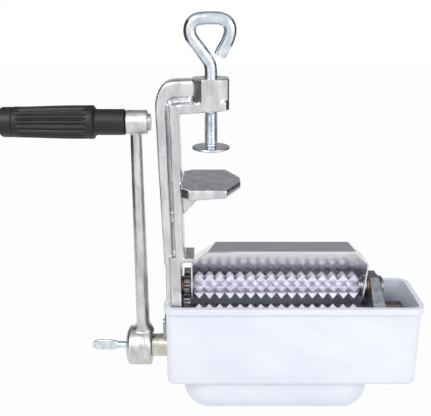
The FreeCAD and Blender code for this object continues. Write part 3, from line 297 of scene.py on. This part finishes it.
FINISHES = {
    # barrel-polished aluminium casting: bright, slightly wavy, with a few pinholes
    "cast_alloy": finish("polished_cast_aluminium", ("#C6C6CA", "#E2E2E4"), (0.18, 0.32), grain=(9, 9, 26),
                         bump=0.05, fine=1.6, edge=0.8, pits=(2.4, 0.4)),
    # the same alloy left satin from tumbling
    "cast_alloy_satin": finish("tumbled_cast_aluminium", ("#BDBDBB", "#DEDEDC"), (0.28, 0.42), grain=(6, 6, 14),
                               bump=0.06, fine=0.9, edge=0.8, pits=(2.0, 0.3)),
    # the end plate's skin, brushed clean: a darker grey that is painted shade, standing in for the shadow the tray
    # casts on it
    "end_plate_painted_shade_alloy": finish("aluminium_with_painted_shade", ("#85888E", "#A2A5AB"), (0.34, 0.5), grain=(5, 5, 5),
                      bump=0.06, fine=0.9, edge=0.6, pits=(2.0, 0.3)),
    # bright zinc plate with its faint blue passivation
    "zinc_steel": finish("bright_zinc_plated_steel", ("#C6CFD8", "#E6ECF2"), (0.12, 0.24), grain=(5, 5, 5),
                         bump=0.02, fine=0.7, edge=0.12),
    # rolled stainless sheet: grain runs along the sheet's length
    "hood_steel": finish("rolled_stainless_sheet", ("#DDDDE0", "#E9E9EC"), (0.20, 0.28), grain=(40, 1.6, 1.6),
                         bump=0.01, fine=0.8, edge=0.3),
    # machined aluminium studs, bright on the cut faces
    "roller_alloy": finish("machined_aluminium", ("#CFCDDA", "#E6E4F0"), (0.38, 0.5), grain=(3, 3, 3),
                           bump=0.02, fine=0.7, edge=0.25),
    "shaft_steel": finish("turned_steel", ("#A3A3A3", "#C9C9C9"), (0.22, 0.34), grain=(0.9, 8, 8), bump=0.01,
                          edge=0.3),
    "gear_steel": finish("machined_steel", ("#6C6C6F", "#9A9A9E"), (0.30, 0.42), grain=(2, 4, 4), bump=0.02,
                         edge=0.2),
    "bronze": finish("sintered_bronze", ("#9A7B4A", "#B8935A"), (0.38, 0.52), grain=(1.2, 1.2, 1.2), bump=0.02,
                     edge=0.2),
    # nickel plate reads a little yellow beside zinc
    "nickel": finish("nickel_plated_steel", ("#BDB9AC", "#D9D5C8"), (0.14, 0.26), grain=(1.6, 9, 9), bump=0.01,
                     edge=0.3),
    "dark_steel": finish("blackened_steel", ("#5B5454", "#756D6C"), (0.30, 0.42), grain=(3, 3, 3), bump=0.02,
                         edge=0.4),
    "spring_steel": finish("tempered_spring_steel", ("#8D9196", "#AEB2B8"), (0.20, 0.32), grain=(4, 1.5, 4),
                           bump=0.01, edge=0.2),
    # moulded polypropylene: matt black with a fine sparked texture
    "black_grip": finish("moulded_black_polypropylene", ("#0C0D0E", "#141617"), (0.40, 0.52), metallic=0.0,
                         grain=(7, 7, 7), bump=0.02, fine=0.5, edge=0.3, ior=1.49),
    # injection-moulded ABS: cool white, even and glossy
    "white_tray": finish("moulded_white_ABS", ("#E4E8F3", "#EDF0F8"), (0.16, 0.24), metallic=0.0,
                         grain=(60, 60, 40), bump=0.015, fine=6.0, edge=0.6, ior=1.53),
}

for row in frame["record"]["subparts"]:
    mesh = frame["nodes"][row["node"]].data
    mesh.materials.clear()
    mesh.materials.append(FINISHES[row["material_slot"]])


# ---------------------------------------------------------------- clamp screw and pad

def make_clamp_screw():
    """Threaded stem, foot and bent rod handle."""
    stem = threaded(25.5, 74.9, 5.0, 1.5, 0.85)
    path = through([(0, 0, 73), (0, 0, 79.5), (-1.0, 0, 84.4), (-5.9, 0, 91.6), (-11.8, 0, 99.3), (-14.4, 0, 104.2),
                    (-14.0, 0, 109.6), (-10.4, 0, 113.4), (-4.8, 0, 114.5), (1.0, 0, 114.7), (7.0, 0, 114.2),
                    (11.6, 0, 111.8), (13.5, 0, 106.6), (11.6, 0, 99.3), (8.6, 0.5, 94.0), (6.2, 1.0, 89.2)])
    radii = np.full(len(path), 4.5)
    radii[-1] = 4.1
    rod = swept(path, radii)
    make_piece("clamp_screw_rod", [stem, rod], FINISHES["zinc_steel"], "clamp_spindle",
               ["clamp_screw"])


def upright_lathe(stations, radii, turns=72):
    """A turned shape about the Z axis through the origin, its profile run back through a bore."""
    points, faces = turned(stations, radii, (0, 0), turns, closed=True)
    return outward(points[:, [1, 2, 0]], faces)


def make_clamp_pad():
    """A thin swivel disc with a rolled edge and a shallow dish round the screw's foot."""
    outside = [(3.1, 23.3), (8.0, 23.25), (12.8, 23.3), (13.7, 23.6), (14.0, 24.2), (13.7, 24.8), (12.8, 25.05),
               (9.0, 25.1), (5.4, 25.2), (3.1, 25.2)]
    profile = through([(r, 0, z) for r, z in outside], 4)
    make_piece("clamp_pad_disc", [upright_lathe(profile[:, 2], profile[:, 0])], FINISHES["zinc_steel"],
               "pad", ["clamp_pad"])


# ---------------------------------------------------------------- crank

def make_crank_arm():
    """Hub, tapered oval arm with its V of webs, and end boss, melted into one casting."""
    x, r = rounded(HUB_LEFT, HUB_RIGHT, HUB_RADIUS, 2.6, 1.4)
    hub = turned(np.concatenate([[HUB_LEFT], x, [HUB_RIGHT]]), np.concatenate([[5.2], r, [5.2]]),
                 (CRANK_Y, CRANK_Z), 72, closed=True)
    x, r = rounded(BOSS_LEFT, BOSS_RIGHT, BOSS_RADIUS, 1.2, 1.2)
    boss = turned(np.concatenate([[BOSS_LEFT], x, [BOSS_RIGHT]]), np.concatenate([[4.1], r, [4.1]]),
                  (CRANK_Y, CRANK_Z + CRANK_RADIUS), 64, closed=True)
    up = np.concatenate([np.linspace(6.0, 30, 40), np.linspace(32, CRANK_RADIUS - 5, 60)])
    part = up / CRANK_RADIUS
    wide = 5.3 - 1.2 * part
    deep = 7.0 - 2.0 * part
    flare = 1 - smooth_step(up, 12.5, 24.0)
    wide = wide + 3.8 * flare ** 2 * smooth_step(up, 6, 15)
    surface = np.sqrt(np.maximum(HUB_RADIUS ** 2 - up ** 2, 0))
    deep = np.maximum(deep, surface + 0.7)
    wide = np.where(up < 13, np.maximum(1.2 + (up - 6) * 1.1, 0.6), wide)
    angle = np.linspace(0, 2 * np.pi, 48, endpoint=False)
    rings = np.stack([ARM_X + wide[:, None] * np.cos(angle), CRANK_Y + deep[:, None] * np.sin(angle),
                      CRANK_Z + up[:, None] * np.ones(48)], -1)
    arm = shell(rings)
    piece = make_piece("crank_arm_casting", [hub, boss, arm], FINISHES["cast_alloy_satin"],
                       "crank", ["crank_arm"])
    moulded(piece, 0.5, 5)


def make_thumb_screw():
    """Spade screw. Across the paddle the section is a dumbbell, y = thin sin t (0.55 + 0.45 cos^2 t), so a hollow
    runs down its middle between two rounded lobes."""
    x = -72.4 - 22.3 * (1 - np.cos(np.linspace(0, np.pi, 40))) / 2
    run = (x + 72.4) / -22.3
    half = 2.75 + 1.75 * smooth_step(run, 0.0, 0.35)
    close = np.sqrt(np.clip(1 - np.clip((run - 0.72) / 0.28, 0, 1) ** 2, 0.004, 1))
    tall, thin = half * close, (2.75 - 0.35 * smooth_step(run, 0, 0.3)) * close
    angle = np.linspace(0, 2 * np.pi, 48, endpoint=False)
    hollow = 1 - 0.82 * smooth_step(run, 0.05, 0.3)[:, None] * np.sin(angle) ** 2
    rings = np.stack([x[:, None] * np.ones(48), CRANK_Y + thin[:, None] * np.sin(angle) * hollow,
                      CRANK_Z + tall[:, None] * np.cos(angle)], -1)
    neck = turned([-67.7, -67.9, -73.2, -74.0], [2.4, 2.75, 2.75, 2.2], (CRANK_Y, CRANK_Z), 32)
    points, faces = threaded(0, 12.6, 2.5, 0.8, 0.3, 24, 6)
    turned_over = points[:, [2, 1, 0]] * [1, 1, -1] + [-68.0, CRANK_Y, CRANK_Z]
    make_piece("thumb_screw_spade", [shell(rings), neck, outward(turned_over, faces)], FINISHES["zinc_steel"],
               "arm_screw", ["thumb_screw"])
    dome = through([(-65.4, 0, 2.75), (-65.4, 0, 12.3), (-65.7, 0, 12.5), (-66.4, 0, 11.4), (-67.2, 0, 8.6),
                    (-67.65, 0, 5.2), (-67.7, 0, 2.75)], 5)
    make_piece("domed_washer_pressing", [turned(dome[:, 0], dome[:, 2], (CRANK_Y, CRANK_Z), 72, closed=True)],
               FINISHES["zinc_steel"], "arm_washer", ["domed_washer"])


def make_grip():
    """Barrel whose radius is R(x) - d f(t), f = (0.5 + 0.5 cos 18 t)^1.4: 18 long flutes that run out at both
    ends, then a step down to the smooth neck."""
    centre = (CRANK_Y, CRANK_Z + CRANK_RADIUS)
    turns = 18 * 12
    angle = np.linspace(0, 2 * np.pi, turns, endpoint=False)
    x = np.concatenate([np.linspace(GRIP_LEFT, GRIP_NECK + 4, 90), np.linspace(GRIP_NECK + 4.4, GRIP_RIGHT - 1, 20),
                        GRIP_RIGHT - 1 + np.sin(np.linspace(0.1, np.pi / 2, 6))])
    base = 11.0 + 1.0 * smooth_step(x, GRIP_LEFT, GRIP_NECK - 12)
    base = base - (base - 9.25) * smooth_step(x, GRIP_NECK - 0.8, GRIP_NECK + 1.6)
    base[-6:] -= 1 - np.cos(np.linspace(0.1, np.pi / 2, 6))
    base[0] -= 0.4
    run = smooth_step(x, GRIP_LEFT + 2.5, GRIP_LEFT + 6.5) * (1 - smooth_step(x, GRIP_NECK - 7.5, GRIP_NECK - 3.5))
    radii = base[:, None] - 1.25 * run[:, None] * (0.5 + 0.5 * np.cos(18 * angle)) ** 1.4
    stations = np.concatenate([[GRIP_LEFT], x, [GRIP_RIGHT]])
    bore = np.full((1, turns), 4.08)
    barrel = turned(stations, np.concatenate([bore, radii, bore]), centre, turns, closed=True)
    make_piece("grip_barrel", [barrel], FINISHES["black_grip"], "handle", ["grip"])
    x, r = rounded(GRIP_CAP_LEFT, GRIP_LEFT, 10.75, 2.4, 0.4)
    make_piece("grip_cap", [turned(x, r, centre, 72)], FINISHES["black_grip"], "handle",
               ["grip_end_cap"])


# ---------------------------------------------------------------- casting

def band(path, across, depth):
    """A raised band along a path in the XZ plane: a rounded bar, across wide and depth deep on either side."""
    path = np.asarray(path, float)
    along = np.gradient(path, axis=0)
    along /= np.linalg.norm(along, axis=1)[:, None]
    other = np.cross(along, [0.0, 1.0, 0.0])
    angle = np.linspace(0, 2 * np.pi, 40, endpoint=False)
    # a superellipse: flat faces with rounded corners
    c = np.sign(np.cos(angle)) * np.abs(np.cos(angle)) ** 0.35
    s = np.sign(np.sin(angle)) * np.abs(np.sin(angle)) ** 0.35
    rings = (path[:, None] + depth * c[None, :, None] * np.array([0.0, 1.0, 0.0])
             + np.asarray(across)[:, None, None] / 2 * s[None, :, None] * other[:, None])
    return shell(rings)


def make_castings():
    outer = through([(-12, 0, 67.4), (-18, 0, 67.3), (-23.5, 0, 67.2), (-28.6, 0, 66.4), (-32.0, 0, 63.6),
                     (-34.4, 0, 59.6), (-35.2, 0, 54.0), (-35.2, 0, 46.0), (-34.4, 0, 10.0), (-33.2, 0, -30.0),
                     (-32.1, 0, -66.0)], 8)
    wide = np.interp(outer[:, 2], [-70, 50, 60, 66, 68], [7.4, 8.3, 9.0, 12.4, 12.6])
    cast_copy("clamp_casting", "frame_casting", [band(outer, wide, 8.4)], 0.85, 3, FINISHES["cast_alloy"],
              "frame")
    # the end plate takes the darker alloy, whose grey is painted shade for the tray's shadow on it
    cast_copy("end_plate_casting", "right_side_plate", [], 0.6, 3, FINISHES["end_plate_painted_shade_alloy"],
              "frame")


turned_drum("lower_drum_studs", "lower_roller_drum", (-8.0, -110.3), 10.1, "lower_roller")
turned_drum("upper_drum_studs", "upper_roller_drum", (4.05, -87.83), 10.1, "upper_roller")
make_clamp_screw()
make_clamp_pad()
make_crank_arm()
make_thumb_screw()
make_grip()
make_castings()


# ---------------------------------------------------------------- studio

def flat(name, corners, material):
    mesh = bpy.data.meshes.new(name)
    mesh.from_pydata([[c * MM for c in corner] for corner in corners], [], [[0, 1, 2, 3]])
    thing = bpy.data.objects.new(name, mesh)
    bpy.context.scene.collection.objects.link(thing)
    mesh.materials.append(material)
    return thing


def floor_material():
    """Pale matt board that reads as the white background to the eye and to polished metal, yet keeps shadows."""
    material = bpy.data.materials.new("white_painted_board")
    material.use_nodes = True
    tree = material.node_tree
    tree.nodes.clear()
    light = add(tree, "ShaderNodeLightPath")
    seen = add(tree, "ShaderNodeMath", {"operation": "MAXIMUM"},
               {0: light.outputs["Is Camera Ray"], 1: light.outputs["Is Glossy Ray"]})
    seen = add(tree, "ShaderNodeMath", {"operation": "MAXIMUM"},
               {0: seen.outputs[0], 1: light.outputs["Is Transmission Ray"]})
    share = add(tree, "ShaderNodeMath", {"operation": "MULTIPLY"}, {0: seen.outputs[0], 1: 0.96})
    board = add(tree, "ShaderNodeBsdfDiffuse", None, {"Color": linear("#F2F2F2")})
    glow = add(tree, "ShaderNodeEmission", None, {"Color": (1, 1, 1, 1), "Strength": 1.0})
    mix = add(tree, "ShaderNodeMixShader", None, {0: share.outputs[0], 1: board.outputs[0], 2: glow.outputs[0]})
    add(tree, "ShaderNodeOutputMaterial", None, {"Surface": mix.outputs[0]})
    return material


def card_material():
    material = bpy.data.materials.new("grey_studio_card")
    material.use_nodes = True
    tree = material.node_tree
    tree.nodes.clear()
    glow = add(tree, "ShaderNodeEmission", None, {"Color": (1, 1, 1, 1), "Strength": 0.06})
    add(tree, "ShaderNodeOutputMaterial", None, {"Surface": glow.outputs[0]})
    return material


def make_studio():
    reach = 2500
    flat("floor", [(-reach, -reach, FLOOR_Z), (reach, -reach, FLOOR_Z), (reach, reach, FLOOR_Z),
                   (-reach, reach, FLOOR_Z)], floor_material())
    dark = card_material()
    for name, x, front in (("left_card", -420, -223), ("right_card", 420, -30)):
        card = flat(name, [(x, front, FLOOR_Z + 1), (x, 520, FLOOR_Z + 1), (x, 520, 420), (x, front, 420)], dark)
        card.visible_camera = False
        card.visible_diffuse = False
        card.visible_shadow = False
        card.visible_transmission = False


def make_world():
    """White to the eye; even soft light for matt things; for polished metal a studio that is bright in front and
    low down, and dim above and behind."""
    world = bpy.data.worlds.new("studio")
    bpy.context.scene.world = world
    world.use_nodes = True
    tree = world.node_tree
    tree.nodes.clear()
    light = add(tree, "ShaderNodeLightPath")
    where = add(tree, "ShaderNodeTexCoord").outputs["Generated"]
    parts = add(tree, "ShaderNodeSeparateXYZ", None, {0: where})
    behind = add(tree, "ShaderNodeMapRange", {"interpolation_type": "SMOOTHSTEP"},
                 {"Value": parts.outputs["Y"], "From Min": -0.35, "From Max": 0.45})
    above = add(tree, "ShaderNodeMapRange", {"interpolation_type": "SMOOTHSTEP"},
                {"Value": parts.outputs["Z"], "From Min": 0.06, "From Max": 0.2})
    dim = add(tree, "ShaderNodeMath", {"operation": "MULTIPLY"}, {0: behind.outputs[0], 1: above.outputs[0]})
    studio = add(tree, "ShaderNodeMix", {"data_type": "RGBA"},
                 {"Factor": dim.outputs[0], 6: (1, 1, 1, 1), 7: (0.30, 0.305, 0.315, 1)})
    eye = add(tree, "ShaderNodeMath", {"operation": "MAXIMUM"},
              {0: light.outputs["Is Camera Ray"], 1: light.outputs["Is Transmission Ray"]})
    soft = add(tree, "ShaderNodeMix", {"data_type": "RGBA"},
               {"Factor": light.outputs["Is Glossy Ray"], 6: (0.56, 0.563, 0.575, 1), 7: studio.outputs[2]})
    sky = add(tree, "ShaderNodeMix", {"data_type": "RGBA"},
              {"Factor": eye.outputs[0], 6: soft.outputs[2], 7: (1, 1, 1, 1)})
    back = add(tree, "ShaderNodeBackground", None, {"Color": sky.outputs[2], "Strength": 1.0})
    add(tree, "ShaderNodeOutputWorld", None, {"Surface": back.outputs[0]})


def add_lamp(name, place, aim, width, power):
    data = bpy.data.lights.new(name, "AREA")
    data.size = width * MM
    data.energy = power
    lamp = bpy.data.objects.new(name, data)
    bpy.context.scene.collection.objects.link(lamp)
    lamp.location = [c * MM for c in place]
    direction = np.array(aim, float) - np.array(place, float)
    from mathutils import Vector
    lamp.rotation_euler = Vector(direction).to_track_quat("-Z", "Y").to_euler()
    return lamp


def make_camera():
    data = bpy.data.cameras.new("camera")
    data.sensor_width = 36
    data.lens = 660 / 431 * 36
    camera = bpy.data.objects.new("camera", data)
    bpy.context.scene.collection.objects.link(camera)
    tilt = math.radians(18.1)
    distance = 495
    target = (3.3, 0.0, -22.3)
    camera.location = (target[0] * MM, (target[1] - distance * math.cos(tilt)) * MM,
                       (target[2] + distance * math.sin(tilt)) * MM)
    camera.rotation_euler = (math.radians(90) - tilt, 0, 0)
    data.clip_end = 20
    bpy.context.scene.camera = camera


make_studio()
make_world()
add_lamp("key_softbox", (-450, -700, 650), (0, 0, -60), 500, 4.6)
add_lamp("fill_softbox", (600, -600, 300), (0, 0, -60), 500, 2.2)
make_camera()
bpy.context.scene.view_settings.view_transform = "Standard"
